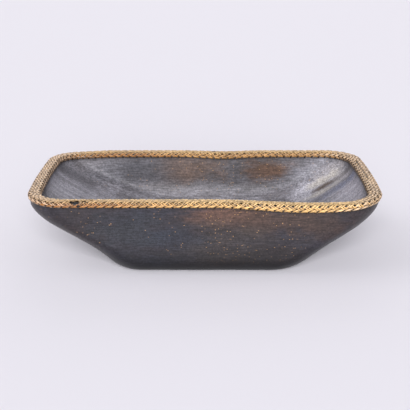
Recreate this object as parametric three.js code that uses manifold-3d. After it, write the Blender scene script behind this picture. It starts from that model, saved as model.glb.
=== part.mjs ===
// Carved serving dish with a plaited cane rim, in millimetres.
// +X runs along the dish, +Y to its back, +Z up; the origin is under the middle of the rim,
// on the plane that the dish stands on.
import * as THREE from 'three';
import Module from 'manifold-3d';
import { mergeVertices } from 'three/addons/utils/BufferGeometryUtils.js';

const wasm = await Module();
wasm.setup();

// Rim of the carved wood, over its outer faces
const rimLength = 429.6;
const rimWidth = 241;
const rimHeight = 90.2;
const rimCornerRadius = 45;
const rimEdgeRound = 1.5;
const straightBandMargin = 3;

// The two ends are fuller in the middle than at the corners
const endBow = 4.8;

// The rim isn't level: it sags at the front right, a little at the back and at one corner
const frontSagDepth = 3.9;
const frontSagX = 125;
const frontSagHalfSpan = 120;
const backSagDepth = 1.3;
const backSagX = 27;
const backSagHalfSpan = 60;
const cornerSagDepth = 1.8;
const cornerSagX = -176;
const cornerSagHalfSpan = 48;

// Flat foot, which reaches further right than left
const footReachLeft = 115.5;
const footReachRight = 120;
const footWidth = 238.4;
const footCornerRadius = 41;

// The foot's edge is rounded off, more along the sides than at the ends
const footEndRound = 8;
const footSideRound = 20;

// Outer walls rise from foot to rim on a curve with a lower and an upper handle
const lowerHandleHeight = 39;
const upperHandleHeight = 55;
const lowerRunLeft = 18.1;
const lowerRunRight = 35.3;
const lowerRunSide = 1;
const upperInsetLeft = -7;
const upperInsetRight = 0.9;
const upperInsetSide = 0.5;

// Hollow: an even wall that meets the floor in a wide cove
const wallThickness = 12;
const floorThickness = 14;
const floorCornerRadius = 58;
const coveHeight = 34;
const coveRunEnd = 44;
const coveRunSide = 44;

// Lacing holes through the wall, under the rim
const holePitch = 10.06;
const holeDiameter = 3.2;
const holeDepth = 5.1;

// Where the rim sags, the holes lie deeper under it too
const frontHoleDrop = 2.2;
const backHoleDrop = 1.1;

// Plait that saddles the rim, laced through the holes
const plaitThickness = 2.2;
const plaitBelowHoles = 1.6;
const plaitGap = 0.3;
const laceGap = 0.3;
const jointGap = 0.4;

// Each length of plait starts on one side, at a distance from that side's middle
const frontStartOffset = -89;
const rightEndStartOffset = 148;
const backStartOffset = -204;
const backLeftStartOffset = 74;
const leftEndStartOffset = -8;
const plaitStarts = [
  { name: 'rim_plait_front', side: 'front', offset: frontStartOffset },
  { name: 'rim_plait_right_end', side: 'front', offset: rightEndStartOffset },
  { name: 'rim_plait_back', side: 'back', offset: backStartOffset },
  { name: 'rim_plait_back_left', side: 'back', offset: backLeftStartOffset },
  { name: 'rim_plait_left_end', side: 'left', offset: leftEndStartOffset },
];

// Facets
const cornerSteps = 6;
const endSteps = 6;
const sideSteps = 16;
const footSteps = 4;
const outerSteps = 8;
const coveSteps = 4;
const hollowSteps = 4;
const holeSides = 6;

// Sizes that follow from those above
const rimReach = rimLength / 2;
const deepestHole = holeDepth + Math.max(frontHoleDrop, backHoleDrop);
const bandDepth = deepestHole + Math.max(plaitBelowHoles, holeDiameter / 2) + straightBandMargin;
const bandHeight = rimHeight - bandDepth;
const coveTop = floorThickness + coveHeight;
const frontRun = rimReach - rimCornerRadius;

const handleHeights = [0, lowerHandleHeight, upperHandleHeight, rimHeight];
const wallOf = (foot, lowerRun, upperInset, rim) => [foot, foot + lowerRun, rim - upperInset, rim];
const leftWall = wallOf(footReachLeft, lowerRunLeft, upperInsetLeft, rimReach);
const rightWall = wallOf(footReachRight, lowerRunRight, upperInsetRight, rimReach);
const sideWall = wallOf(footWidth / 2, lowerRunSide, upperInsetSide, rimWidth / 2);

// Cubic curve through its first and last value, and its slope
function cubic([a, b, c, d], t) {
  const s = 1 - t;
  return a * s ** 3 + 3 * b * s * s * t + 3 * c * s * t * t + d * t ** 3;
}

function cubicSlope([a, b, c, d], t) {
  const s = 1 - t;
  return 3 * ((b - a) * s * s + 2 * (c - b) * s * t + (d - c) * t * t);
}

// Place on the wall curve at a height, by halving
function placeAtHeight(height) {
  let low = 0;
  let high = 1;
  for (let step = 0; step < 40; step += 1) {
    const middle = (low + high) / 2;
    if (cubic(handleHeights, middle) < height) low = middle;
    else high = middle;
  }
  return low;
}

// Rounded rectangle with bowed ends, anticlockwise from the start of the front right corner
function outline({ left, right, half, radius }) {
  const corners = [
    [right - radius, radius - half, -90],
    [right - radius, half - radius, 0],
    [radius - left, half - radius, 90],
    [radius - left, radius - half, 180],
  ];
  const onArc = ([x, y, from], turn) => {
    const angle = THREE.MathUtils.degToRad(from + turn);
    return new THREE.Vector2(x + radius * Math.cos(angle), y + radius * Math.sin(angle));
  };
  const points = [];
  corners.forEach((corner, index) => {
    for (let step = 0; step <= cornerSteps; step += 1) {
      points.push(onArc(corner, (90 * step) / cornerSteps));
    }
    const start = points[points.length - 1].clone();
    const end = onArc(corners[(index + 1) % corners.length], 0);
    const steps = index % 2 === 0 ? endSteps : sideSteps;
    for (let step = 1; step < steps; step += 1) {
      points.push(start.clone().lerp(end, step / steps));
    }
  });
  return points.map((point) => {
    const reach = point.x > 0 ? right : left;
    const share = (point.x / reach) * Math.abs(point.x / reach);
    return point.setX(point.x - share * endBow * (point.y / half) ** 2);
  });
}

// How far the rim sags, and how deep the holes lie under it, at a point of its outline
const frontSag = {
  rim: frontSagDepth, holes: frontHoleDrop, middle: frontSagX, halfSpan: frontSagHalfSpan,
};
const backSags = [
  { rim: backSagDepth, holes: backHoleDrop, middle: backSagX, halfSpan: backSagHalfSpan },
  { rim: cornerSagDepth, holes: 0, middle: cornerSagX, halfSpan: cornerSagHalfSpan },
];
function sagOf({ x, y }) {
  const towardsEdge = (y / (rimWidth / 2)) ** 2;
  const total = { rim: 0, holes: 0 };
  (y < 0 ? [frontSag] : backSags).forEach(({ rim, holes, middle, halfSpan }) => {
    const away = Math.min(1, Math.abs(x - middle) / halfSpan);
    const share = (towardsEdge * (1 + Math.cos(Math.PI * away))) / 2;
    total.rim += rim * share;
    total.holes += holes * share;
  });
  return total;
}
const rimOutline = outline({
  left: rimReach, right: rimReach, half: rimWidth / 2, radius: rimCornerRadius,
});
const sags = rimOutline.map(sagOf);

// One ring of the bowl: an outline lifted to its height, which stretches with the sagging rim
function ring(reach, height, still = 0) {
  return outline(reach).map((point, index) => {
    const stretch = (rimHeight - sags[index].rim - still) / (rimHeight - still);
    return new THREE.Vector3(point.x, point.y, still + (height - still) * stretch);
  });
}

// How far a round on the foot's edge draws it in at a height
function drawnIn(height, round) {
  const underRound = Math.max(0, 1 - height / round);
  return round * (1 - Math.sqrt(1 - underRound ** 2));
}

// The outer face, whose lowest rings draw in
function outerReach(t) {
  const height = cubic(handleHeights, t);
  const endRound = drawnIn(height, footEndRound);
  return {
    left: cubic(leftWall, t) - endRound,
    right: cubic(rightWall, t) - endRound,
    half: cubic(sideWall, t) - drawnIn(height, footSideRound),
    radius: THREE.MathUtils.lerp(footCornerRadius, rimCornerRadius, t) - endRound,
  };
}

// The inner face keeps the wall's thickness, measured square to the sloping outer face
function innerReach(height) {
  const t = placeAtHeight(height);
  const rise = cubicSlope(handleHeights, t);
  const run = (wall) => wallThickness * Math.hypot(1, cubicSlope(wall, t) / rise);
  const cove = Math.min(1, (height - floorThickness) / coveHeight);
  const coveShare = 1 - Math.sqrt(1 - (1 - cove) ** 2);
  const upShare = (height - floorThickness) / (rimHeight - floorThickness);
  return {
    left: cubic(leftWall, t) - run(leftWall) - coveRunEnd * coveShare,
    right: cubic(rightWall, t) - run(rightWall) - coveRunEnd * coveShare,
    half: cubic(sideWall, t) - run(sideWall) - coveRunSide * coveShare,
    radius: THREE.MathUtils.lerp(floorCornerRadius, rimCornerRadius - wallThickness, upShare),
  };
}

const grown = ({ left, right, half, radius }, by) => (
  { left: left + by, right: right + by, half: half + by, radius: radius + by }
);

// Rings that bound the straight band under the rim, on both faces
const outerRim = outerReach(1);
const innerRim = grown(outerRim, -wallThickness);
const outerBandRing = ring(outerReach(placeAtHeight(bandHeight)), bandHeight);
const innerBandRing = ring(innerReach(bandHeight), bandHeight, floorThickness);
const outerRimRing = ring(outerRim, rimHeight);
const innerRimRing = ring(innerRim, rimHeight);

// Points down a face of the band at one depth under the rim
function bandPoint(rimPoint, bandPointBelow, depth) {
  return rimPoint.clone().lerp(bandPointBelow, depth / (rimPoint.z - bandPointBelow.z));
}

// The wood's section at each station round the rim, from outer face over the top to inner face
const stations = outerRimRing.map((outer, index) => {
  const inner = innerRimRing[index];
  const across = inner.clone().sub(outer).setZ(0).normalize();
  const outerFace = (depth) => bandPoint(outer, outerBandRing[index], depth);
  const innerFace = (depth) => bandPoint(inner, innerBandRing[index], depth);
  const top = (point, side) => point.clone().addScaledVector(across, side * rimEdgeRound);
  const holesAt = holeDepth + sags[index].holes;
  return {
    across, outerFace, innerFace, holesAt, outerTop: top(outer, 1), innerTop: top(inner, -1),
  };
});

// Faces of a skin over rings of equal count
function skinFaces(levels, count) {
  const faces = [];
  for (let level = 0; level < levels - 1; level += 1) {
    for (let index = 0; index < count; index += 1) {
      const [a, b] = [level * count + index, level * count + ((index + 1) % count)];
      faces.push(a, b, b + count, a, b + count, a + count);
    }
  }
  return faces;
}

// Solid through rings of equal count, closed at both ends by a fan
function loft(rings) {
  const count = rings[0].length;
  const points = rings.flat();
  const faces = skinFaces(rings.length, count);
  const closeEnd = (level, flip) => {
    const centre = points.length;
    const sum = rings[level].reduce((total, point) => total.add(point), new THREE.Vector3());
    points.push(sum.divideScalar(count));
    for (let index = 0; index < count; index += 1) {
      const edge = [level * count + index, level * count + ((index + 1) % count)];
      faces.push(centre, ...(flip ? edge.reverse() : edge));
    }
  };
  closeEnd(0, true);
  closeEnd(rings.length - 1, false);
  return geometryOf(points, faces);
}

function geometryOf(points, faces) {
  const geometry = new THREE.BufferGeometry().setFromPoints(points);
  geometry.setIndex(faces);
  return geometry;
}

// Booleans
function toSolid(geometry) {
  const bare = geometry.clone();
  bare.deleteAttribute('normal');
  bare.deleteAttribute('uv');
  const merged = mergeVertices(bare);
  return new wasm.Manifold(new wasm.Mesh({
    numProp: 3,
    vertProperties: new Float32Array(merged.attributes.position.array),
    triVerts: new Uint32Array(merged.index.array),
  }));
}

function toGeometry(solid) {
  const { vertProperties, triVerts } = solid.getMesh();
  const geometry = new THREE.BufferGeometry();
  geometry.setAttribute('position', new THREE.BufferAttribute(new Float32Array(vertProperties), 3));
  geometry.setIndex(new THREE.BufferAttribute(new Uint32Array(triVerts), 1));
  return geometry;
}

// Distance along the rim's outer edge at each station, and the whole way round
const stationDistances = [0];
rimOutline.forEach((point, index) => {
  const next = rimOutline[(index + 1) % rimOutline.length];
  stationDistances.push(stationDistances[index] + point.distanceTo(next));
});
const rimPerimeter = stationDistances[rimOutline.length];

// Middles of the four sides, which part the rim in quarters
const sideMiddles = {
  front: 0, right: rimPerimeter / 4, back: rimPerimeter / 2, left: (3 * rimPerimeter) / 4,
};

// Station and share of the way to the next, at a distance from the middle of the front
function stationAt(distance) {
  const along = THREE.MathUtils.euclideanModulo(distance - frontRun, rimPerimeter);
  let index = 0;
  while (index < rimOutline.length - 1 && stationDistances[index + 1] <= along) index += 1;
  const length = stationDistances[index + 1] - stationDistances[index];
  return { index, next: (index + 1) % rimOutline.length, share: (along - stationDistances[index]) / length };
}

// A point of the stations' sections, read between two of them
function betweenStations(distance, pick) {
  const { index, next, share } = stationAt(distance);
  return pick(stations[index]).lerp(pick(stations[next]), share);
}

// The holes stand midway between even steps of the rim
const holeCount = Math.round(rimPerimeter / holePitch);
const holeStep = rimPerimeter / holeCount;
const holes = Array.from({ length: holeCount }, (_, index) => {
  const distance = (index + 0.5) * holeStep;
  return {
    distance,
    outer: betweenStations(distance, (station) => station.outerFace(station.holesAt)),
    inner: betweenStations(distance, (station) => station.innerFace(station.holesAt)),
  };
});

// Bar of a given section laid from one point past another
function layBar(geometry, from, to) {
  const along = to.clone().sub(from).normalize();
  const upright = new THREE.Vector3(0, 0, 1).addScaledVector(along, -along.z).normalize();
  const sideways = along.clone().cross(upright);
  const turn = new THREE.Matrix4().makeBasis(sideways, along, upright);
  const middle = from.clone().add(to).divideScalar(2);
  return geometry.applyMatrix4(turn.setPosition(middle));
}

function makeHoleCutter({ outer, inner }) {
  const length = outer.distanceTo(inner) + 2 * holeDiameter;
  const radius = holeDiameter / 2;
  return layBar(new THREE.CylinderGeometry(radius, radius, length, holeSides), outer, inner);
}

// The carved bowl, from its foot up the outer face, over the rim and down to the floor
function makeBowl() {
  const rings = [];
  const roundPlace = placeAtHeight(footSideRound);
  for (let step = 0; step < footSteps; step += 1) {
    const t = placeAtHeight(footSideRound * (1 - Math.cos((Math.PI / 2) * (step / footSteps))));
    rings.push(ring(outerReach(t), cubic(handleHeights, t)));
  }
  const bandPlace = placeAtHeight(bandHeight);
  for (let step = 0; step < outerSteps; step += 1) {
    const t = THREE.MathUtils.lerp(roundPlace, bandPlace, step / outerSteps);
    rings.push(ring(outerReach(t), cubic(handleHeights, t)));
  }
  rings.push(outerBandRing);
  rings.push(stations.map((station) => station.outerFace(rimEdgeRound)));
  rings.push(stations.map((station) => station.outerTop));
  rings.push(stations.map((station) => station.innerTop));
  rings.push(stations.map((station) => station.innerFace(rimEdgeRound)));
  rings.push(innerBandRing);
  for (let step = 1; step <= hollowSteps; step += 1) {
    const height = THREE.MathUtils.lerp(bandHeight, coveTop, step / hollowSteps);
    rings.push(ring(innerReach(height), height, floorThickness));
  }
  for (let step = 1; step <= coveSteps; step += 1) {
    const turn = (Math.PI / 2) * (step / coveSteps);
    const height = coveTop - coveHeight * Math.sin(turn);
    rings.push(ring(innerReach(height), height, floorThickness));
  }
  return holes.reduce((bowl, hole) => bowl.subtract(toSolid(makeHoleCutter(hole))), toSolid(loft(rings)));
}

// The plait's section at one place: pairs of points, on its under side and on its face
const mitre = Math.tan(Math.PI / 8);
function plaitSection(distance) {
  const layer = (offset) => {
    const place = (pick, outwards, upwards) => betweenStations(distance, (station) => (
      pick(station)
        .addScaledVector(station.across, -outwards * offset)
        .add(new THREE.Vector3(0, 0, upwards * offset - rimHeight))
    ));
    return [
      place((station) => station.outerFace(station.holesAt + plaitBelowHoles), 1, 0),
      place((station) => station.outerFace(rimEdgeRound), 1, mitre),
      place((station) => station.outerTop.clone(), mitre, 1),
      place((station) => station.innerTop.clone(), -mitre, 1),
      place((station) => station.innerFace(rimEdgeRound), -1, mitre),
      place((station) => station.innerFace(station.holesAt + plaitBelowHoles), -1, 0),
    ];
  };
  return [...layer(plaitGap), ...layer(plaitGap + plaitThickness).reverse()];
}

// Solid through the sections between two places on the rim
function makeSaddle(start, end) {
  const distances = stationDistances
    .flatMap((distance) => [distance + frontRun - rimPerimeter, distance + frontRun])
    .filter((distance) => distance > start + jointGap && distance < end - jointGap)
    .sort((a, b) => a - b);
  const spaced = [start, ...distances, end];
  const sections = spaced
    .filter((distance, index) => index === 0 || distance - spaced[index - 1] > jointGap)
    .map(plaitSection);
  const count = sections[0].length;
  const faces = skinFaces(sections.length, count);
  const closeEnd = (first, flip) => {
    for (let index = 0; index < count / 2 - 1; index += 1) {
      const quad = [index, index + 1, count - 2 - index, count - 1 - index].map((at) => first + at);
      const [a, b, c, d] = flip ? quad.reverse() : quad;
      faces.push(a, b, c, a, c, d);
    }
  };
  closeEnd(0, true);
  closeEnd((sections.length - 1) * count, false);
  return geometryOf(sections.flat(), faces);
}

// The lacing that passes through one hole, into both legs of the plait
const laceSide = (holeDiameter / 2 * Math.cos(Math.PI / holeSides) - laceGap) * Math.SQRT2;
function makeLace({ outer, inner }) {
  const across = inner.clone().sub(outer).normalize();
  const reach = plaitGap + plaitThickness / 2;
  const from = outer.clone().addScaledVector(across, -reach);
  const to = inner.clone().addScaledVector(across, reach);
  const lace = layBar(new THREE.BoxGeometry(laceSide, from.distanceTo(to), laceSide), from, to);
  return lace.translate(0, 0, -rimHeight);
}

function makePlait(start, end) {
  const snap = (distance) => Math.round(distance / holeStep) * holeStep;
  const [from, to] = [snap(start) + jointGap / 2, snap(end) - jointGap / 2];
  const laced = holes.filter(({ distance }) => (
    [distance, distance - rimPerimeter].some((place) => place > from && place < to)
  ));
  return laced.reduce((plait, hole) => plait.add(toSolid(makeLace(hole))), toSolid(makeSaddle(from, to)));
}

// Finishes
const finishes = {
  wood: { color: '#3d3738', roughness: 0.55, metalness: 0 },
  cane: { color: '#c79f5c', roughness: 0.6, metalness: 0 },
};
function makeMesh(name, solid, finish) {
  const mesh = new THREE.Mesh(toGeometry(solid), new THREE.MeshStandardMaterial(finishes[finish]));
  mesh.name = name;
  return mesh;
}

// Assembly: the bowl, and the plait in its lengths on the rim
const dish = new THREE.Group();
dish.add(makeMesh('bowl', makeBowl(), 'wood'));
const binding = new THREE.Group();
binding.position.z = rimHeight;
dish.add(binding);
const starts = plaitStarts.map(({ side, offset }) => sideMiddles[side] + offset);
plaitStarts.forEach(({ name }, index) => {
  const following = starts[index + 1] ?? starts[0] + rimPerimeter;
  binding.add(makeMesh(name, makePlait(starts[index], following), 'cane'));
});

export default dish;
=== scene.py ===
"""Studio picture of a carved serving dish whose rim is bound in plaited cane.

Lengths are in metres in the model's own frame: +X runs along the dish, +Y to its back and +Z up.
"""
import logging
import math
from collections.abc import Callable
from dataclasses import astuple, dataclass
from enum import Enum
from functools import partial

import bpy
import numpy as np
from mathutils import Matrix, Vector, noise


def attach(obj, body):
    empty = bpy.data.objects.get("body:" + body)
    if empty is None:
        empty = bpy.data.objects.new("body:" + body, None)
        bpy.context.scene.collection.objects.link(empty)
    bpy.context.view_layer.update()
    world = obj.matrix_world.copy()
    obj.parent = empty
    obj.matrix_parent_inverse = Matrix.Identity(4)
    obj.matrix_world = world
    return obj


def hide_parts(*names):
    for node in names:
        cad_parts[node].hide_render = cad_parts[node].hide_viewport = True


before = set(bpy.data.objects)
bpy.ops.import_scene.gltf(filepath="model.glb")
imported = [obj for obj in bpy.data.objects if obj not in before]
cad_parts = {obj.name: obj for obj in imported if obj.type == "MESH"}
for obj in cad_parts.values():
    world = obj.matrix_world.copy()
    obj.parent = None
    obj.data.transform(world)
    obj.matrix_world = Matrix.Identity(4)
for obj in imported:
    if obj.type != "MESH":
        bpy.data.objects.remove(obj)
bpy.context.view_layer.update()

LOG = logging.getLogger("dish")
MM = 0.001
BODY = "root"
SEED = 7
HALVINGS = 40

Adder = Callable[..., bpy.types.Node]
Coat = tuple[object, object, str]
Ramp = tuple[float, float, float, float]
Strand = dict[str, np.ndarray]


def linear(hex_colour: str) -> tuple[float, float, float, float]:
    """Turn an sRGB hex colour into linear light.

    Args:
        hex_colour: A # and six hex digits.

    Returns:
        Linear red, green and blue, and full alpha.
    """
    channels = [int(hex_colour[at:at + 2], 16) / 255 for at in (1, 3, 5)]
    curve = [c / 12.92 if c <= 0.04045 else ((c + 0.055) / 1.055) ** 2.4 for c in channels]
    return (*curve, 1.0)


def unit(vectors: np.ndarray) -> np.ndarray:
    """Scale each row to length 1."""
    return vectors / np.linalg.norm(vectors, axis=1, keepdims=True)


def add_node(tree: bpy.types.NodeTree, kind: str, inputs: dict | tuple = (),
             **settings: object) -> bpy.types.Node:
    """Add a node, set its properties and feed its inputs.

    Args:
        tree: Tree that gets the node.
        kind: Blender's name of the node type.
        inputs: What each input gets, in their order or by name or number: a value, a socket, or
            a node that feeds it from its first output.
        **settings: Properties of the node.

    Returns:
        The new node.
    """
    node = tree.nodes.new(kind)
    for name, value in settings.items():
        setattr(node, name, value)
    for key, value in inputs.items() if isinstance(inputs, dict) else enumerate(inputs):
        if isinstance(value, bpy.types.Node):
            value = value.outputs[0]
        if isinstance(value, bpy.types.NodeSocket):
            tree.links.new(value, node.inputs[key])
        else:
            node.inputs[key].default_value = value
    return node


def new_material(name: str) -> tuple[bpy.types.Material, Adder]:
    """Start an empty material.

    Args:
        name: What the material is.

    Returns:
        The material, and add_node() for its tree.
    """
    material = bpy.data.materials.new(name)
    material.use_nodes = True
    material.node_tree.nodes.clear()
    return material, partial(add_node, material.node_tree)


def new_tree(name: str, inputs: dict[str, tuple]) -> tuple:
    """Start a geometry node tree with named inputs.

    Args:
        name: Name of the tree.
        inputs: Input names, each with its socket type and default value.

    Returns:
        The tree, add_node() for it, and the sockets that bring its inputs.
    """
    tree = bpy.data.node_groups.new(name, "GeometryNodeTree")
    tree.interface.new_socket("Geometry", in_out="INPUT", socket_type="NodeSocketGeometry")
    for label, (kind, value) in inputs.items():
        socket = tree.interface.new_socket(label, in_out="INPUT", socket_type=kind)
        if value is not None:
            socket.default_value = value
    tree.interface.new_socket("Geometry", in_out="OUTPUT", socket_type="NodeSocketGeometry")
    add = partial(add_node, tree)
    return tree, add, add("NodeGroupInput").outputs


def mesh_object(name: str, points: np.ndarray, faces: list, edges: list = ()) -> bpy.types.Object:
    """Make an object from points and faces, at the origin.

    Args:
        name: Name of the object.
        points: One row for each vertex.
        faces: Vertex numbers of each face.
        edges: Vertex numbers of each loose edge.

    Returns:
        The object, linked to the scene.
    """
    mesh = bpy.data.meshes.new(name)
    mesh.from_pydata([tuple(p) for p in points], list(edges), faces)
    mesh.update()
    thing = bpy.data.objects.new(name, mesh)
    bpy.context.scene.collection.objects.link(thing)
    return thing


def store(mesh: bpy.types.Mesh, name: str, values: np.ndarray) -> None:
    """Store one number or direction for each vertex in a named attribute.

    Args:
        mesh: Mesh that gets the attribute.
        name: Name of the attribute.
        values: The numbers, or one row for each direction.
    """
    kind, key = ("FLOAT_VECTOR", "vector") if values.ndim == 2 else ("FLOAT", "value")
    layer = mesh.attributes.new(name, kind, "POINT")
    layer.data.foreach_set(key, np.ascontiguousarray(values, dtype=np.float32).ravel())


def grow(thing: bpy.types.Object, tree: bpy.types.NodeTree, values: dict) -> None:
    """Run a geometry node tree on an object and keep the result as its plain mesh.

    Args:
        thing: Object that the tree starts from.
        tree: The tree.
        values: Input names of the tree, with their values.
    """
    modifier = thing.modifiers.new(tree.name, "NODES")
    modifier.node_group = tree
    sockets = {item.name: item.identifier for item in tree.interface.items_tree
               if item.item_type == "SOCKET" and item.in_out == "INPUT"}
    for name, value in values.items():
        modifier[sockets[name]] = value
    depsgraph = bpy.context.evaluated_depsgraph_get()
    result = bpy.data.meshes.new_from_object(thing.evaluated_get(depsgraph))
    thing.modifiers.remove(modifier)
    old, thing.data = thing.data, result
    result.name = thing.name
    bpy.data.meshes.remove(old)


class Lean(Enum):
    """Ways in which a stitch crosses the rim, by the sign of its course along it."""

    FORWARD = 1
    BACKWARD = -1


class Wall(Enum):
    """Outer walls that have a curve of their own. Both long sides share one."""

    LEFT = 0
    RIGHT = 1
    SIDE = 2


@dataclass(frozen=True)
class Reach:
    """How far one level of the dish reaches, and how round its corners are."""

    left: float
    right: float
    half: float
    radius: float


@dataclass(frozen=True)
class Sag:
    """A dip in the rim of one long side, where the lacing holes may lie deeper too."""

    side: int
    rim: float
    holes: float
    middle: float
    half_span: float


@dataclass(frozen=True)
class DishShape:
    """Driving sizes of the carved wood, and the surfaces that follow from them."""

    rim_length: float = 429.6 * MM
    rim_width: float = 241 * MM
    rim_height: float = 90.2 * MM
    rim_corner_radius: float = 45 * MM
    rim_edge_round: float = 1.5 * MM
    end_bow: float = 4.8 * MM
    dips: tuple[Sag, ...] = (Sag(-1, 3.9 * MM, 2.2 * MM, 125 * MM, 120 * MM),
                             Sag(1, 1.3 * MM, 1.1 * MM, 27 * MM, 60 * MM),
                             Sag(1, 1.8 * MM, 0.0, -176 * MM, 48 * MM))
    foot_left: float = 115.5 * MM
    foot_right: float = 120 * MM
    foot_width: float = 238.4 * MM
    foot_corner_radius: float = 41 * MM
    foot_end_round: float = 8 * MM
    foot_side_round: float = 20 * MM
    handle_heights: tuple[float, float] = (39 * MM, 55 * MM)
    lower_runs: tuple[float, float, float] = (18.1 * MM, 35.3 * MM, 1 * MM)
    upper_insets: tuple[float, float, float] = (-7 * MM, 0.9 * MM, 0.5 * MM)
    wall: float = 12 * MM
    floor: float = 14 * MM
    floor_corner_radius: float = 58 * MM
    cove_height: float = 34 * MM
    cove_run_end: float = 44 * MM
    cove_run_side: float = 44 * MM
    hole_pitch: float = 10.06 * MM
    hole_diameter: float = 3.2 * MM
    hole_depth: float = 5.1 * MM
    plait_below_holes: float = 1.6 * MM
    band_depth: float = 11.9 * MM
    corner_steps: int = 24
    end_steps: int = 40
    side_steps: int = 88

    def wall_curve(self, wall: Wall, t: float) -> tuple[float, float, float]:
        """Follow one outer wall from foot to rim.

        Args:
            wall: Which wall.
            t: Place on the curve, from 0 at the foot to 1 at the rim.

        Returns:
            Reach, height and the slope of reach over height.
        """
        at = wall.value
        foot = (self.foot_left, self.foot_right, self.foot_width / 2)[at]
        rim = (self.rim_length / 2, self.rim_length / 2, self.rim_width / 2)[at]
        reach = (foot, foot + self.lower_runs[at], rim - self.upper_insets[at], rim)
        height = (0.0, *self.handle_heights, self.rim_height)
        s = 1 - t
        shares = np.array([s**3, 3 * s * s * t, 3 * s * t * t, t**3])
        rates = np.array([s * s, 2 * s * t, t * t])
        slope = rates @ np.diff(reach) / (rates @ np.diff(height))
        return float(shares @ reach), float(shares @ height), float(slope)

    def place_at(self, height: float) -> float:
        """Find the place on the wall curve that has a given height.

        Args:
            height: Height above the foot.

        Returns:
            Place on the curve, from 0 to 1.
        """
        low, high = 0.0, 1.0
        for _ in range(HALVINGS):
            middle = (low + high) / 2
            too_low = self.wall_curve(Wall.SIDE, middle)[1] < height
            low, high = (middle, high) if too_low else (low, middle)
        return low

    @staticmethod
    def drawn_in(height: float, radius: float) -> float:
        """How far a round of a given radius draws the foot in at a height."""
        return radius * (1 - math.sqrt(1 - max(0.0, 1 - height / radius) ** 2))

    def outer_reach(self, t: float) -> Reach:
        """Reach of the outer face, drawn in where the foot is rounded.

        Args:
            t: Place on the wall curve.

        Returns:
            The reach at that place.
        """
        left, right, half = (self.wall_curve(wall, t)[0] for wall in Wall)
        height = self.wall_curve(Wall.SIDE, t)[1]
        at_end = self.drawn_in(height, self.foot_end_round)
        at_side = self.drawn_in(height, self.foot_side_round)
        radius = self.foot_corner_radius + (self.rim_corner_radius - self.foot_corner_radius) * t
        return Reach(left - at_end, right - at_end, half - at_side, radius - at_end)

    def inner_reach(self, height: float) -> Reach:
        """Reach of the hollow, a wall's thickness inside the sloping outer face.

        Args:
            height: Height above the foot.

        Returns:
            The reach at that height.
        """
        t = self.place_at(height)
        cove = min(1.0, (height - self.floor) / self.cove_height)
        share = 1 - math.sqrt(max(0.0, 1 - (1 - cove) ** 2))
        up = (height - self.floor) / (self.rim_height - self.floor)
        reach = []
        for wall, run in zip(Wall, (self.cove_run_end, self.cove_run_end, self.cove_run_side)):
            out, _, slope = self.wall_curve(wall, t)
            reach.append(out - self.wall * math.hypot(1, slope) - run * share)
        top_radius = self.rim_corner_radius - self.wall
        return Reach(*reach, self.floor_corner_radius + (top_radius - self.floor_corner_radius) * up)

    def outline(self, reach: Reach) -> np.ndarray:
        """Rounded rectangle with bowed ends, anticlockwise from the front right corner.

        Args:
            reach: How far it reaches and its corner radius.

        Returns:
            One row of x and y for each station.
        """
        r = reach.radius
        corners = ((reach.right - r, r - reach.half, -90), (reach.right - r, reach.half - r, 0),
                   (r - reach.left, reach.half - r, 90), (r - reach.left, r - reach.half, 180))
        turn = np.linspace(0, 90, self.corner_steps + 1)
        arcs = [np.stack([x + r * np.cos(np.radians(start + turn)),
                          y + r * np.sin(np.radians(start + turn))], -1) for x, y, start in corners]
        points = []
        for arc, after, steps in zip(arcs, arcs[1:] + arcs[:1], (self.end_steps, self.side_steps) * 2):
            share = np.arange(1, steps)[:, None] / steps
            points += [arc, arc[-1] * (1 - share) + after[0] * share]
        xy = np.concatenate(points)
        out = xy[:, 0] / np.where(xy[:, 0] > 0, reach.right, reach.left)
        xy[:, 0] -= out * np.abs(out) * self.end_bow * (xy[:, 1] / reach.half) ** 2
        return xy

    def sags(self) -> tuple[np.ndarray, np.ndarray]:
        """Work out the dips of the rim.

        Returns:
            How far the rim dips at each station, and how much deeper the holes lie under it.
        """
        xy = self.outline(self.outer_reach(1.0))
        to_edge = (xy[:, 1] / (self.rim_width / 2)) ** 2
        rim, holes = np.zeros(len(xy)), np.zeros(len(xy))
        for dip in self.dips:
            away = np.clip((xy[:, 0] - dip.middle) / dip.half_span, -1, 1)
            share = np.where(xy[:, 1] * dip.side > 0, to_edge * (1 + np.cos(math.pi * away)) / 2, 0)
            rim += dip.rim * share
            holes += dip.holes * share
        return rim, holes

    def ring(self, reach: Reach, height: float, still: float = 0.0) -> np.ndarray:
        """Lift an outline to a height that stretches with the sagging rim.

        Args:
            reach: The outline's reach.
            height: Height where the rim is at its full height.
            still: Height below which nothing stretches.

        Returns:
            One row of x, y and z for each station.
        """
        stretch = (self.rim_height - self.sags()[0] - still) / (self.rim_height - still)
        return np.column_stack([self.outline(reach), still + (height - still) * stretch])


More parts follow.
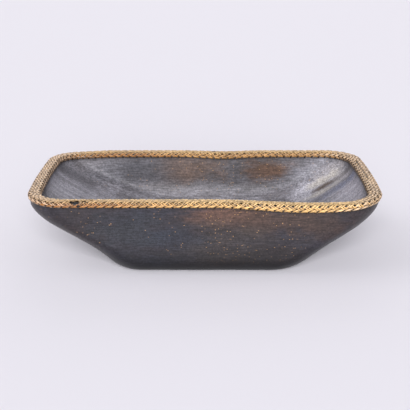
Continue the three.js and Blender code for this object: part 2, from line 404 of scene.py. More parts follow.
class RimTrack:
    """The rim as a track: places along it, across its top and down its faces."""

    def __init__(self, shape: DishShape) -> None:
        """Measure the rim of a dish.

        Args:
            shape: The dish.
        """
        self.shape = shape
        rim = shape.outer_reach(1.0)
        inner = Reach(*(size - shape.wall for size in astuple(rim)))
        band = shape.rim_height - shape.band_depth
        self.outer = shape.ring(rim, shape.rim_height)
        self.inner = shape.ring(inner, shape.rim_height)
        self.outer_band = shape.ring(shape.outer_reach(shape.place_at(band)), band)
        self.inner_band = shape.ring(shape.inner_reach(band), band, shape.floor)
        self.drops = shape.sags()[1]
        steps = np.linalg.norm(np.roll(self.outer, -1, 0)[:, :2] - self.outer[:, :2], axis=1)
        self.distances = np.concatenate([[0.0], np.cumsum(steps)])
        self.perimeter = float(self.distances[-1])
        self.front_run = shape.rim_length / 2 - shape.rim_corner_radius
        self.hole_count = round(self.perimeter / shape.hole_pitch)
        self.step = self.perimeter / self.hole_count

    def read(self, table: np.ndarray, distance: np.ndarray) -> np.ndarray:
        """Read a table that has one row for each station.

        Args:
            table: The rows.
            distance: Places, as distances from the middle of the front.

        Returns:
            One row for each place.
        """
        along = np.mod(distance - self.front_run, self.perimeter)
        closed = np.vstack([table, table[:1]])
        return np.stack([np.interp(along, self.distances, column) for column in closed.T], -1)

    def hole_depth_at(self, distance: np.ndarray) -> np.ndarray:
        """Depth of the row of holes under the rim."""
        return self.shape.hole_depth + self.read(self.drops[:, None], distance)[:, 0]

    def place(self, distance: np.ndarray, across: np.ndarray, height: np.ndarray) -> np.ndarray:
        """Turn places on the track into points.

        Args:
            distance: Along the rim from the middle of the front.
            across: From the outer face, 0, to the inner face, the wall's thickness.
            height: Above the rim's top, so negative down its faces.

        Returns:
            One row of x, y and z for each place.
        """
        outer, inner = self.read(self.outer, distance), self.read(self.inner, distance)
        share = (across / self.shape.wall)[:, None]
        point = outer * (1 - share) + inner * share
        point[:, 2] += height
        depth = np.clip(-height, 0, None)[:, None] / self.shape.band_depth
        lean_out = self.read(self.outer_band, distance) - outer
        lean_in = self.read(self.inner_band, distance) - inner
        lean = np.where(share < 0.5, lean_out, lean_in) * depth
        lean[:, 2] = 0
        return point + lean

    def across_at(self, distance: np.ndarray) -> np.ndarray:
        """Find the level direction from the outer face to the inner face.

        Args:
            distance: Along the rim from the middle of the front.

        Returns:
            One row for each place.
        """
        way = self.read(self.inner, distance) - self.read(self.outer, distance)
        way[:, 2] = 0
        return unit(way)

    def hole_distance(self, index: np.ndarray) -> np.ndarray:
        """Distance of a hole from the middle of the front."""
        return (index + 0.5) * self.step


@dataclass(frozen=True)
class Stain:
    """A soft-edged patch of another tone, fixed to one place on the outside or in the hollow.

    Centre and radii are in millimetres in the model's frame.
    """

    centre: tuple[float, float, float]
    radii: tuple[float, float, float]
    colour: str
    strength: float
    inside: bool = False
    # Whether it lies over the silvery wear and painted sheen.
    over_sheen_and_wear: bool = False


@dataclass(frozen=True)
class Pattern:
    """A cloudy pattern in the wood.

    Its sizes are in millimetres: along the dish, across it and up. In the growth layers they
    are along the dish, across the layers and across the dish.
    """

    name: str
    sizes: tuple[float, float, float]
    detail: float = 3.0
    roughness: float = 0.5
    in_layers: bool = False


@dataclass(frozen=True)
class BlackenedWood:
    """Smoke-blackened hardwood, carved with an adze and rubbed with oil.

    The smoke leaves it slate grey with a blue cast, handling brings back warm brown patches, and
    open pores show as short tan flecks. The hollow is worn paler, and low down and up its ends,
    which cut across the growth layers and show them as streaks, it is drawn silvery, partly as
    wear and partly as painted sheen. The outside is drawn darker towards the foot, as painted
    shade, and the wood under the plait and inside the holes nearly black, as painted shade. Pores
    are drawn wider than the real ones, or they wouldn't show. Each ramp gives two values of a
    pattern, a place or a face, and what comes of each.
    """

    slate: str = "#27272f"
    brown: str = "#2c2628"
    worn: str = "#4c4b50"
    dull: str = "#443e3d"
    # Silvery tone low in the hollow and up its ends: partly wear, partly painted sheen.
    silver: str = "#a3a2aa"
    fleck: str = "#c79a66"
    # Painted shade: the wood under the plait and inside the holes is drawn nearly black.
    painted_shade: str = "#0b090a"
    specular: float = 0.36
    roughness: Ramp = (0.0, 1.0, 0.4, 0.56)
    relief_strength: float = 0.35
    relief_height: float = 0.3 * MM
    mottle_relief: float = 0.6
    heart: tuple[float, float] = (-420 * MM, 60 * MM)
    sway_size: float = 90.909 * MM
    sway_depth: float = 12 * MM
    patterns: tuple[Pattern, ...] = (
        Pattern("layer", (200, 10, 200), roughness=0.55, in_layers=True),
        Pattern("fibre", (14.286, 1.5385, 1.5385)),
        Pattern("mottle", (2.381, 2.381, 2.381), roughness=0.8),
        Pattern("cloud", (111.11, 62.5, 38.462), 5.0, 0.65),
        Pattern("ragged", (33.333, 16.667, 16.667), 4.0, 0.7),
        Pattern("crowd", (45.455, 45.455, 45.455)))
    brown_share: Ramp = (0.35, 0.65, 0.0, 1.0)
    dull_share: Ramp = (0.3, 0.7, 0.0, 1.0)
    # Where the silvery tone goes: partly wear, partly painted sheen.
    low_wear_and_sheen: Ramp = (56 * MM, 26 * MM, 0.0, 0.8)
    end_wear_and_sheen: Ramp = (105 * MM, 165 * MM, 0.0, 1.0)
    end_wear_and_sheen_heights: Ramp = (82 * MM, 48 * MM, 0.35, 1.0)
    wear_and_sheen_streaks: Ramp = (0.3, 0.7, 0.0, 0.55)
    wear_and_sheen_patches: Ramp = (0.3, 0.7, 0.0, 0.45)
    wear_and_sheen_share: Ramp = (0.25, 0.75, 0.25, 0.7)
    # Painted shade: the outside is drawn darker towards the foot.
    foot_shade: Ramp = (6 * MM, 40 * MM, 0.1, 1.0)
    shades: tuple[tuple[str, Ramp], ...] = (
        ("layer", (0.35, 0.65, 0.84, 1.16)), ("fibre", (0.38, 0.62, 0.74, 1.26)),
        ("mottle", (0.4, 0.6, 0.7, 1.3)))
    pore_sizes: tuple[float, float, float] = (1.7544 * MM, 1.0526 * MM, 1.0526 * MM)
    pore_dot: Ramp = (0.2, 0.5, 0.65, 0.0)
    crowd_middle: float = 62 * MM
    crowd_reach: Ramp = (25 * MM, 110 * MM, 0.1, 0.0)
    crowd_chance: Ramp = (0.46, 0.76, 0.998, 0.92)
    pore_heights: Ramp = (14 * MM, 45 * MM, 0.0, 1.0)
    stain_tear: float = 2.2
    stain_edge: tuple[float, float] = (1.4, 2.3)
    stains: tuple[Stain, ...] = (
        Stain((32, -121, 76), (64, 14, 16), "#5a4034", 0.8),
        Stain((75, -121, 70), (80, 14, 20), "#44342d", 0.75),
        Stain((130, -119, 66), (60, 14, 22), "#3a2d28", 0.65),
        Stain((20, -118, 40), (75, 14, 30), "#36302e", 0.6),
        Stain((-90, -119, 55), (50, 14, 26), "#25282e", 0.7),
        Stain((-30, -118, 48), (40, 14, 18), "#232731", 0.6),
        Stain((-20, 108, 70), (60, 14, 24), "#5c4a40", 0.75, True),
        Stain((90, 107, 66), (44, 14, 18), "#543c2c", 0.85, True),
        Stain((-95, 107, 66), (60, 14, 26), "#3c3c41", 0.6, True),
        # Pale stains at the hollow's ends: partly worn wood, partly painted sheen.
        Stain((-184, 14, 64), (46, 64, 34), "#94929b", 0.8, True),
        Stain((-140, 45, 36), (46, 70, 22), "#9f9da5", 0.85, True),
        Stain((176, 84, 62), (34, 34, 26), "#989393", 0.8, True),
        Stain((142, 78, 40), (34, 34, 18), "#b4b2ba", 0.85, True),
        Stain((192, -6, 66), (34, 66, 38), "#9e9aa4", 0.85, True),
        # These lie over the silvery tone; the pale ones are partly painted sheen.
        Stain((184, 41, 66), (46, 13, 38), "#74788d", 0.75, True, True),
        Stain((166, 88, 56), (32, 8, 22), "#b5afa4", 0.6, True, True),
        Stain((158, 62, 48), (34, 9, 24), "#aba59b", 0.6, True, True),
        Stain((164, 74, 52), (22, 7, 16), "#574a40", 0.85, True, True))

    def sources(self, add: Adder) -> dict[str, object]:
        """Read the places, faces and patterns that the colours follow.

        Args:
            add: add_node() for the material.

        Returns:
            A node or socket for each, by name.
        """
        place = add("ShaderNodeTexCoord").outputs["Object"]
        x, y, z = add("ShaderNodeSeparateXYZ", (place,)).outputs
        found = {"place": place, "x": x, "z": z}
        for name in ("hollow", "bound"):
            found[name] = add("ShaderNodeAttribute", attribute_name=name).outputs["Fac"]
        found["outer"] = add("ShaderNodeMath", (1.0, found["hollow"]), operation="SUBTRACT")
        level = add("ShaderNodeCombineXYZ", (0.0, y, z))
        ring = add("ShaderNodeVectorMath", (level, (0.0, *self.heart)), operation="DISTANCE")
        sway = add("ShaderNodeTexNoise", {"Vector": place, "Scale": 1 / self.sway_size})
        bent = add("ShaderNodeMath", (sway, self.sway_depth, ring.outputs["Value"]),
                   operation="MULTIPLY_ADD")
        growth = add("ShaderNodeCombineXYZ", (x, bent, y))
        for pattern in self.patterns:
            space = add("ShaderNodeMapping", {0: growth if pattern.in_layers else place,
                                              "Scale": [1 / (size * MM) for size in pattern.sizes]})
            found[pattern.name] = add("ShaderNodeTexNoise", {
                "Vector": space, "Scale": 1.0, "Detail": pattern.detail,
                "Roughness": pattern.roughness})
        return found

    def stain_coats(self, add: Adder, found: dict[str, object], over_sheen_and_wear: bool) -> list[Coat]:
        """Place the stains that lie under the silvery wear and painted sheen, or those that lie over it.

        Args:
            add: add_node() for the material.
            found: What sources() gave.
            over_sheen_and_wear: Which of the two.

        Returns:
            A coat for each stain.
        """
        coats = []
        for stain in (stain for stain in self.stains if stain.over_sheen_and_wear is over_sheen_and_wear):
            centre, radii = ([size * MM for size in sizes] for sizes in (stain.centre, stain.radii))
            away = add("ShaderNodeVectorMath", (found["place"], centre), operation="SUBTRACT")
            scaled = add("ShaderNodeVectorMath", (away, radii), operation="DIVIDE")
            far = add("ShaderNodeVectorMath", (scaled,), operation="LENGTH").outputs["Value"]
            torn = add("ShaderNodeMath", (found["ragged"], self.stain_tear, far),
                       operation="MULTIPLY_ADD")
            share = add("ShaderNodeMapRange", (torn, *self.stain_edge, stain.strength, 0.0),
                        interpolation_type="SMOOTHSTEP")
            face = found["hollow" if stain.inside else "outer"]
            here = add("ShaderNodeMath", (share, face), operation="MULTIPLY")
            coats.append((here, linear(stain.colour), "MIX"))
        return coats

    def wear_and_sheen(self, add: Adder, found: dict[str, object]) -> bpy.types.Node:
        """Work out where the hollow is drawn silvery, partly wear and partly painted sheen: low down and
        up its ends, in streaks.

        Args:
            add: add_node() for the material.
            found: What sources() gave.

        Returns:
            Node that gives the share of the silvery tone.
        """
        length = add("ShaderNodeMath", (found["x"],), operation="ABSOLUTE")
        low, at_ends, up_ends, streaks, patches = (
            add("ShaderNodeMapRange", (source, *ramp)) for source, ramp in (
                (found["z"], self.low_wear_and_sheen), (length, self.end_wear_and_sheen),
                (found["z"], self.end_wear_and_sheen_heights), (found["layer"], self.wear_and_sheen_streaks),
                (found["ragged"], self.wear_and_sheen_patches)))
        endwards = add("ShaderNodeMath", (at_ends, up_ends), operation="MULTIPLY")
        either = add("ShaderNodeMath", (low, endwards), operation="MAXIMUM")
        streaky = add("ShaderNodeMath", (streaks, patches), operation="ADD")
        rubbed_and_sheen = add("ShaderNodeMapRange", (streaky, *self.wear_and_sheen_share))
        lower = add("ShaderNodeMath", (either, rubbed_and_sheen), operation="MULTIPLY")
        return add("ShaderNodeMath", (lower, found["hollow"]), operation="MULTIPLY")

    def flecks(self, add: Adder, found: dict[str, object]) -> bpy.types.Node:
        """Work out where open pores show: thick in some places, rare in others.

        Args:
            add: add_node() for the material.
            found: What sources() gave.

        Returns:
            Node that gives the share of the fleck's tone.
        """
        space = add("ShaderNodeMapping", {
            0: found["place"], "Scale": [1 / size for size in self.pore_sizes]})
        cells = add("ShaderNodeTexVoronoi", {"Vector": space, "Scale": 1.0})
        off_middle = add("ShaderNodeMath", (found["x"], self.crowd_middle), operation="SUBTRACT")
        away = add("ShaderNodeMath", (off_middle,), operation="ABSOLUTE")
        near = add("ShaderNodeMapRange", (away, *self.crowd_reach))
        crowded = add("ShaderNodeMath", (found["crowd"], near), operation="ADD")
        needed = add("ShaderNodeMapRange", (crowded, *self.crowd_chance))
        chance = add("ShaderNodeSeparateColor", (cells.outputs["Color"],))
        chosen = add("ShaderNodeMath", (chance, needed), operation="GREATER_THAN")
        dot = add("ShaderNodeMapRange", (cells, *self.pore_dot))
        above_foot = add("ShaderNodeMapRange", (found["z"], *self.pore_heights))
        clear = add("ShaderNodeMath", (dot, above_foot), operation="MULTIPLY")
        return add("ShaderNodeMath", (clear, chosen), operation="MULTIPLY")

    def material(self) -> bpy.types.Material:
        """Build the material, coat by coat.

        Returns:
            The material.
        """
        material, add = new_material("smoke_blackened_hardwood")
        found = self.sources(add)
        dull = add("ShaderNodeMapRange", (found["cloud"], *self.dull_share))
        inside = add("ShaderNodeMix", {0: dull, 6: linear(self.worn), 7: linear(self.dull)},
                     data_type="RGBA").outputs[2]
        coats = [
            (add("ShaderNodeMapRange", (found["cloud"], *self.brown_share)), linear(self.brown), "MIX"),
            (found["hollow"], inside, "MIX"), *self.stain_coats(add, found, False),
            # Silvery tone in the hollow: partly wear, partly painted sheen.
            (self.wear_and_sheen(add, found), linear(self.silver), "MIX"), *self.stain_coats(add, found, True),
            # Painted shade: the outside is drawn darker towards the foot.
            (found["outer"], add("ShaderNodeMapRange", (found["z"], *self.foot_shade)), "MULTIPLY"),
            *((1.0, add("ShaderNodeMapRange", (found[name], *ramp)), "MULTIPLY")
              for name, ramp in self.shades),
            (self.flecks(add, found), linear(self.fleck), "MIX"),
            # Painted shade: nearly black under the plait and in the holes.
            (found["bound"], linear(self.painted_shade), "MIX")]
        colour = linear(self.slate)
        for share, coat, blend in coats:
            colour = add("ShaderNodeMix", {0: share, 6: colour, 7: coat}, data_type="RGBA",
                         blend_type=blend).outputs[2]
        relief = add("ShaderNodeMath", (found["mottle"], self.mottle_relief, found["fibre"]),
                     operation="MULTIPLY_ADD")
        bump = add("ShaderNodeBump", {"Height": relief, "Strength": self.relief_strength,
                                      "Distance": self.relief_height})
        shader = add("ShaderNodeBsdfPrincipled", {
            "Base Color": colour, "Specular IOR Level": self.specular, "Normal": bump,
            "Roughness": add("ShaderNodeMapRange", (found["hollow"], *self.roughness))})
        add("ShaderNodeOutputMaterial", (shader,))
        return material


@dataclass(frozen=True)
class SplitCane:
    """Split cane with its glossy skin outwards, aged from straw to amber.

    Each strand has a tone of its own and fibres along its length. It is drawn darker along its
    edges and where it dives under, as painted shade. Its top is drawn paler, partly worn skin and
    partly painted sheen, with a painted highlight along the front's inner edge, and towards the
    ends it is drawn faded, partly weathering and partly painted sheen.
    Each ramp gives two values, and what comes of each.
    """

    straw: str = "#d5a968"
    amber: str = "#956029"
    # Pale tone on top: partly worn skin, partly painted sheen, and the painted highlight line.
    pale: str = "#efd19c"
    # Faded tone at the ends: partly weathering, partly painted sheen.
    faded_and_sheen: str = "#ddbf9f"
    # Painted shade: the dark the cane is drawn towards where strands dive under, meet or enter holes.
    painted_shade: str = "#291a11"
    roughness: float = 0.4
    coat: float = 0.2
    coat_roughness: float = 0.3
    relief_strength: float = 0.4
    relief_height: float = 0.15 * MM
    fibre_length: float = 8.3333 * MM
    fibres_across: float = 14.0
    strand_shift: float = 90.0
    blotch_size: float = 7.6923 * MM
    top_wear_and_sheen_share: Ramp = (0.3, 2.0, 0.0, 1.2)
    tone_shade: Ramp = (0.0, 1.0, 0.5, 1.16)
    fibre_shade: Ramp = (0.3, 0.7, 0.75, 1.2)
    blotch_shade: Ramp = (0.3, 0.7, 0.76, 1.2)
    # Painted shade along each strand's edges and where it dives under.
    edge_shade: Ramp = (0.28, 0.5, 0.0, 0.85)
    darkening_share: Ramp = (0.0, 1.0, 0.0, 0.8)

    def material(self) -> bpy.types.Material:
        """Build the material, coat by coat.

        Returns:
            The material.
        """
        material, add = new_material("aged_split_cane")
        tone, age, fade, along, around, crown, sunk = (
            add("ShaderNodeAttribute", attribute_name=name).outputs["Fac"]
            for name in ("tone", "age", "fade", "along", "around", "crown", "sunk"))
        strand = add("ShaderNodeCombineXYZ", (along, around, tone))
        space = add("ShaderNodeMapping", {
            0: strand, "Scale": (1 / self.fibre_length, self.fibres_across, self.strand_shift)})
        fibre = add("ShaderNodeTexNoise", {"Vector": space, "Scale": 1.0, "Detail": 3.0})
        blotch = add("ShaderNodeTexNoise", {
            "Vector": add("ShaderNodeTexCoord").outputs["Object"], "Scale": 1 / self.blotch_size,
            "Detail": 3.0})
        side = add("ShaderNodeMath", (around,), operation="ABSOLUTE")
        top, toned, fibrous, blotched, edge, under = (
            add("ShaderNodeMapRange", (source, *ramp)) for source, ramp in (
                (crown, self.top_wear_and_sheen_share), (tone, self.tone_shade), (fibre, self.fibre_shade),
                (blotch, self.blotch_shade), (side, self.edge_shade), (sunk, self.darkening_share)))
        # Painted sheen and highlight on top, painted sheen in the ends' fading, and painted shade along
        # edges and where strands dive under.
        coats = [(age, linear(self.amber), "MIX"), (top, linear(self.pale), "MIX"),
                 (fade, linear(self.faded_and_sheen), "MIX"), (1.0, toned, "MULTIPLY"),
                 (1.0, fibrous, "MULTIPLY"), (1.0, blotched, "MULTIPLY"),
                 (edge, linear(self.painted_shade), "MIX"), (under, linear(self.painted_shade), "MIX")]
        colour = linear(self.straw)
        for share, coat, blend in coats:
            colour = add("ShaderNodeMix", {0: share, 6: colour, 7: coat}, data_type="RGBA",
                         blend_type=blend).outputs[2]
        bump = add("ShaderNodeBump", {"Height": fibre, "Strength": self.relief_strength,
                                      "Distance": self.relief_height})
        shader = add("ShaderNodeBsdfPrincipled", {
            "Base Color": colour, "Roughness": self.roughness, "Coat Weight": self.coat,
            "Coat Roughness": self.coat_roughness, "Normal": bump})
        add("ShaderNodeOutputMaterial", (shader,))
        return material


@dataclass(frozen=True)
class PalePaper:
    """Matt studio paper with a slight blue cast."""

    colour: str = "#e6e4e9"
    roughness: float = 0.9
    specular: float = 0.1

    def material(self) -> bpy.types.Material:
        """Build the material.

        Returns:
            The material.
        """
        material, add = new_material("pale_paper_floor")
        shader = add("ShaderNodeBsdfPrincipled", {
            "Base Color": linear(self.colour), "Roughness": self.roughness,
            "Specular IOR Level": self.specular})
        add("ShaderNodeOutputMaterial", (shader,))
        return material


@dataclass
class CarvedBowl:
    """The one-piece carved bowl, with its lacing holes drilled.

    The adze leaves broad hollows and finer ridges, each so many to the metre and so deep, which
    fade out near the rim and the foot.
    """

    shape: DishShape
    track: RimTrack
    finish: BlackenedWood = BlackenedWood()
    foot_rings: int = 14
    outer_rings: int = 34
    hollow_rings: int = 22
    cove_rings: int = 16
    flat_rings: int = 12
    edge_rings: int = 5
    pole_share: float = 0.04
    band_shares: tuple[float, ...] = (0.8, 0.6, 0.4)
    hole_sides: int = 16
    drill_walls: float = 1.8
    under_plait_shade_fade: float = 2.4 * MM
    broad_marks: tuple[float, float, float] = (22, 22, 22)
    broad_depth: float = 0.5 * MM
    fine_marks: tuple[float, float, float] = (55, 90, 90)
    fine_depth: float = 0.18 * MM
    unmarked_below_band: float = 5 * MM
    rim_mark_fade: float = 12 * MM
    foot_mark_fade: float = 4 * MM
    sharp_degrees: float = 40.0

    def rings(self) -> list[np.ndarray]:
        """Lay the rings of the skin: from the foot's middle up, over the rim, down to the floor's.

        Returns:
            The rings, each with one row for each station.
        """
        shape, track = self.shape, self.track
        band = shape.rim_height - shape.band_depth
        turns = np.linspace(0, math.pi / 2, self.foot_rings + 1)[:-1]
        places = [shape.place_at(shape.foot_side_round * (1 - math.cos(turn))) for turn in turns]
        places += list(np.linspace(shape.place_at(shape.foot_side_round), shape.place_at(band),
                                   self.outer_rings + 1))
        outer = [shape.ring(shape.outer_reach(t), shape.wall_curve(Wall.SIDE, t)[1]) for t in places]
        stations = track.distances[:-1] + track.front_run
        still = np.zeros(len(stations))
        over_rim = [track.place(stations, still + across, still + height)
                    for across, height in self.rim_section()]
        turns = np.linspace(0, math.pi / 2, self.cove_rings + 1)[1:]
        heights = [*np.linspace(band, shape.floor + shape.cove_height, self.hollow_rings + 1),
                   *(shape.floor + shape.cove_height * (1 - np.sin(turns)))]
        hollow = [shape.ring(shape.inner_reach(h), h, shape.floor) for h in heights]
        shares = np.linspace(self.pole_share, 1 - self.pole_share, self.flat_rings)
        return [*self.shrunk(outer[0], shares), *outer, *over_rim, *hollow,
                *self.shrunk(hollow[-1], shares[::-1])]

    def rim_section(self) -> list[tuple[float, float]]:
        """Step over the rim, from one straight band to the other.

        Returns:
            How far across the rim each step is, and how far above its top.
        """
        r, wall = self.shape.rim_edge_round, self.shape.wall
        turns = np.linspace(0, math.pi / 2, self.edge_rings)
        outer = [(0.0, -self.shape.band_depth * share) for share in self.band_shares]
        outer += [(r - r * math.cos(turn), r * math.sin(turn) - r) for turn in turns]
        return [*outer, (wall / 2, 0.0), *((wall - across, up) for across, up in reversed(outer))]

    @staticmethod
    def shrunk(ring: np.ndarray, shares: np.ndarray) -> list[np.ndarray]:
        """Shrink a ring towards its own middle, once for each share."""
        return [ring.mean(0) + (ring - ring.mean(0)) * share for share in shares]

    def hand_finish(self, points: np.ndarray, normals: np.ndarray) -> np.ndarray:
        """Leave the faint hollows and ridges of the adze, away from the rim and the foot.

        Args:
            points: Points of the skin.
            normals: Their outward normals.

        Returns:
            The moved points.
        """
        broad, fine = (np.array([noise.noise(Vector(p)) for p in points * marks])
                       for marks in (self.broad_marks, self.fine_marks))
        top = self.shape.rim_height - self.shape.band_depth - self.unmarked_below_band
        fade = np.clip((top - points[:, 2]) / self.rim_mark_fade, 0, 1)
        fade *= np.clip(points[:, 2] / self.foot_mark_fade, 0, 1)
        return points + normals * ((broad * self.broad_depth + fine * self.fine_depth) * fade)[:, None]

    def skin(self) -> bpy.types.Object:
        """Make the closed skin of the bowl, before it is drilled.

        Returns:
            The skin, with its hollow side marked, and the part under the plait marked for painted shade.
        """
        rings = self.rings()
        count = len(rings[0])
        last = (len(rings) - 1) * count
        points = np.vstack([*rings, rings[0].mean(0), rings[-1].mean(0)])
        foot, floor = len(points) - 2, len(points) - 1
        pairs = [(at, (at + 1) % count) for at in range(count)]
        faces = [(low + at, low + after, low + count + after, low + count + at)
                 for low in range(0, last, count) for at, after in pairs]
        faces += [(foot, after, at) for at, after in pairs]
        faces += [(floor, last + at, last + after) for at, after in pairs]
        skin = mesh_object("carved_bowl", points, faces)
        section = self.rim_section()
        below = self.flat_rings + self.foot_rings + self.outer_rings + 1
        hollow = np.ones(len(rings))
        hollow[:below] = 0
        hollow[below:below + len(section)] = np.linspace(0, 1, len(section))
        # Painted shade: nearly black under the plait, fading out just below its lower edge.
        covered = self.shape.hole_depth + self.shape.plait_below_holes + self.track.drops
        bound = np.zeros((len(rings), count))
        for at, (_, height) in enumerate(section):
            bound[below + at] = np.clip((covered + height) / self.under_plait_shade_fade + 0.5, 0, 1)
        store(skin.data, "hollow", np.append(np.repeat(hollow, count), [0.0, 1.0]))
        store(skin.data, "bound", np.append(bound.ravel(), [0.0, 0.0]))
        normals = np.zeros(len(points) * 3, np.float32)
        skin.data.vertex_normals.foreach_get("vector", normals)
        points = self.hand_finish(points, normals.reshape(-1, 3))
        skin.data.vertices.foreach_set("co", points.astype(np.float32).ravel())
        return skin

    def drill_tree(self, finish: bpy.types.Material) -> bpy.types.NodeTree:
        """Build the node tree that drills the bowl at each point, along the direction there.

        Args:
            finish: Material of the bowl.

        Returns:
            The tree.
        """
        tree, add, given = new_tree("drill_holes", {
            "Bowl": ("NodeSocketObject", None), "Length": ("NodeSocketFloat", None),
            "Diameter": ("NodeSocketFloat", self.shape.hole_diameter),
            "Sides": ("NodeSocketInt", self.hole_sides)})
        radius = add("ShaderNodeMath", (given["Diameter"], 2.0), operation="DIVIDE")
        drill = add("GeometryNodeMeshCylinder", {
            "Vertices": given["Sides"], "Radius": radius, "Depth": given["Length"]})
        # The holes' walls are marked for painted shade.
        dark = add("GeometryNodeStoreNamedAttribute",
                   {"Geometry": drill, "Name": "bound", "Value": 1.0}, data_type="FLOAT")
        way = add("GeometryNodeInputNamedAttribute", {"Name": "way"}, data_type="FLOAT_VECTOR")
        turn = add("FunctionNodeAlignRotationToVector", {"Vector": way}, axis="Z")
        drills = add("GeometryNodeInstanceOnPoints", {
            "Points": given["Geometry"], "Instance": dark, "Rotation": turn})
        real = add("GeometryNodeRealizeInstances", (drills,))
        bowl = add("GeometryNodeObjectInfo", {"Object": given["Bowl"]})
        cut = add("GeometryNodeMeshBoolean", {"Mesh 1": bowl.outputs["Geometry"], "Mesh 2": real},
                  operation="DIFFERENCE", solver="MANIFOLD")
        dressed = add("GeometryNodeSetMaterial", {"Geometry": cut, "Material": finish})
        add("NodeGroupOutput", (dressed,))
        return tree

    def build(self) -> bpy.types.Object:
        """Carve, drill and dress the bowl.

        Returns:
            The finished piece.
        """
        skin, track = self.skin(), self.track
        distances = track.hole_distance(np.arange(track.hole_count))
        middle = np.full(track.hole_count, self.shape.wall / 2)
        drills = mesh_object("bowl", track.place(distances, middle, -track.hole_depth_at(distances)), [])
        store(drills.data, "way", track.across_at(distances))
        grow(drills, self.drill_tree(self.finish.material()), {
            "Bowl": skin, "Diameter": self.shape.hole_diameter,
            "Length": self.shape.wall * self.drill_walls, "Sides": self.hole_sides})
        bpy.data.objects.remove(skin)
        drills.name = "bowl_carved"
        drills.data.shade_smooth()
        drills.data.set_sharp_from_angle(angle=math.radians(self.sharp_degrees))
        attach(drills, BODY)
        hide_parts("bowl")
        return drills


@dataclass(frozen=True)
class WornPlace:
    """A place on the plait where strands have broken away.

    Distances run in millimetres from the middle of the front, shares across from the outer holes.
    """

    start: float
    stop: float
    outer: float
    inner: float


@dataclass(frozen=True)
class CaneLength:
    """One length of cane, named for the CAD node that it stands for.

    It starts so many millimetres from a share of the way round, counted from the middle of the
    front.
    """

    node: str
    way_round: float
    start: float


@dataclass(frozen=True)
class LaidStrand:
    """A strand that lies along the rim: bared at a worn place, or turned in as a knot.

    It starts and stops so many millimetres from a share of the way round, on one length of cane.
    """

    node: str
    way_round: float
    start: float
    stop: float
    across: float
    height: float
    girth: float
    looks: tuple[tuple[str, float], ...]


